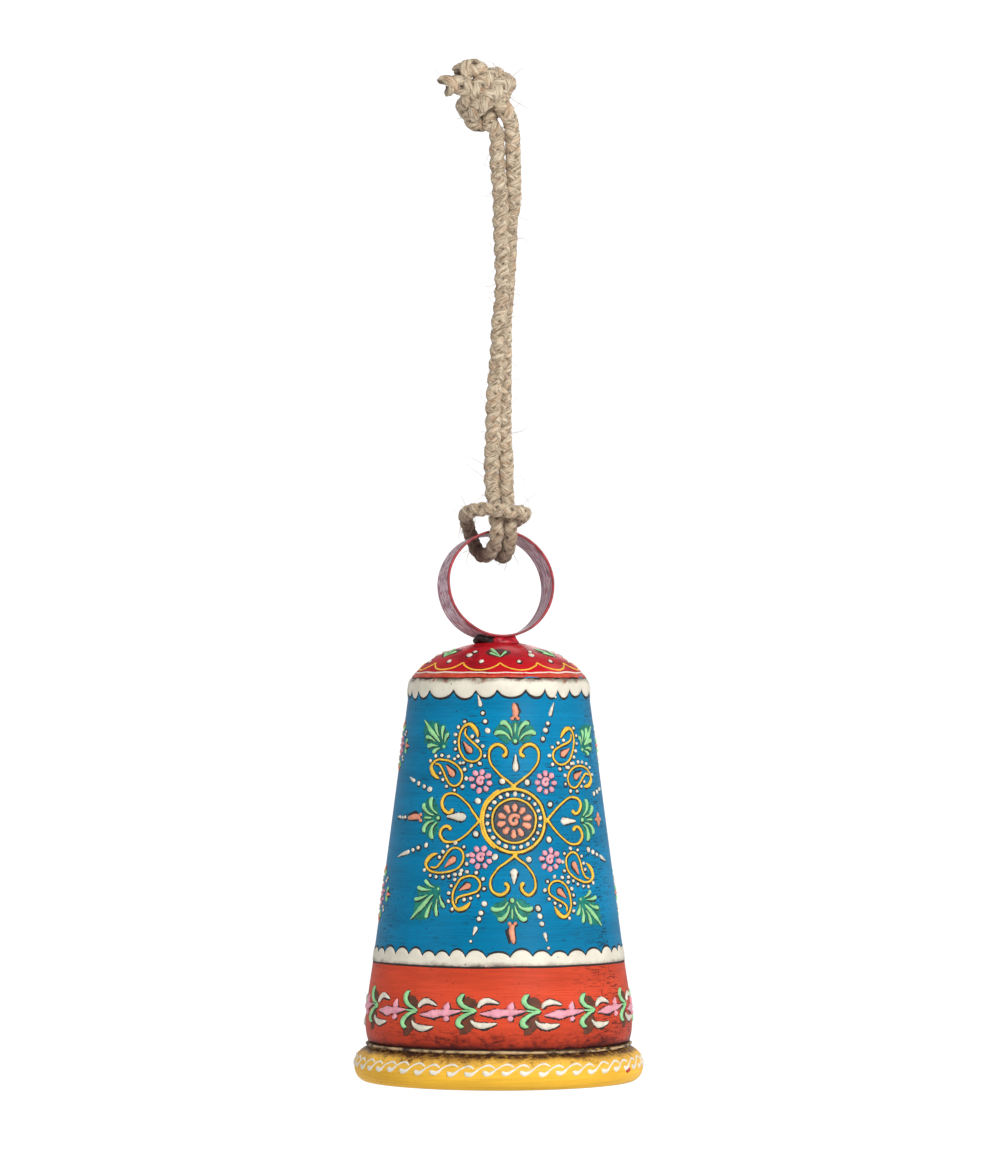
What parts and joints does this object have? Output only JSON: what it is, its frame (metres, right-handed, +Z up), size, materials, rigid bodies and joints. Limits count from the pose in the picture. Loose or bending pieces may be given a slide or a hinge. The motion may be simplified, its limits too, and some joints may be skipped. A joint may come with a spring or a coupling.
{
  "type": "hanging bell ornament",
  "caption": "Hand-painted sheet-metal hanging bell with a flared rim, a strip-metal hanging ring, a wooden clapper inside and a knotted braided cord loop.",
  "frame": {"origin": "the point just under the cord's knot that the bell hangs from, straight above the bell's axis", "axes": "+Z up along the bell's axis; +Y along the hanging ring's bore, towards the back; +X to the right seen from the front"},
  "size_m": [0.0924, 0.0924, 0.3282],
  "materials": {
    "crown_paint": "hand-painted crimson enamel on sheet iron, satin, with fine wear",
    "skirt_paint": "hand-painted blue enamel with raised enamel ornament and an antique wash",
    "rim_paint": "hand-painted yellow enamel with a white scroll border and an antique wash",
    "cream_paint": "cream enamel",
    "ring_paint": "rubbed red paint on a bent steel strip",
    "solder": "burnt brazing",
    "bare_steel": "dull drawn wire",
    "turned_wood": "turned light hardwood, oiled",
    "jute": "braided natural jute cord with loose fibres"
  },
  "bodies": {
    "rope": {"rope_knot": "jute", "rope_tail_upper": "jute", "rope_tail_lower": "jute", "rope_strand_left": "jute", "rope_strand_right": "jute"},
    "hitch": {"rope_hitch": "jute"},
    "bell": {"crown_cap": "crown_paint", "bell_skirt": "skirt_paint", "mouth_rim": "rim_paint", "crown_seam_bead": "solder", "rim_seam_bead": "cream_paint", "side_seam_strip": "solder", "hanging_ring": "ring_paint", "ring_solder_left": "solder", "ring_solder_right": "crown_paint", "clapper_staple": "bare_steel", "staple_solder_left": "solder", "staple_solder_right": "solder"},
    "hook": {"clapper_hook": "bare_steel"},
    "clapper": {"clapper": "turned_wood"}
  },
  "joints": [
    {"name": "rope_bend", "type": "hinge", "parent": "rope", "child": "hitch", "pos_m": [0, 0, -0.112], "axis": [1, 0, 0], "range_deg": [-35, 35]},
    {"name": "ring_turn", "type": "hinge", "parent": "hitch", "child": "bell", "pos_m": [0, 0.0018, -0.1448], "axis": [0, 0.9945, -0.1045], "range_deg": [-40, 40]},
    {"name": "hook_swing", "type": "hinge", "parent": "bell", "child": "hook", "pos_m": [0, 0, -0.173], "axis": [1, 0, 0], "range_deg": [-12, 12]},
    {"name": "clapper_swing", "type": "hinge", "parent": "hook", "child": "clapper", "pos_m": [0, 0, -0.217], "axis": [0, 1, 0], "range_deg": [-17, 17]}
  ]
}
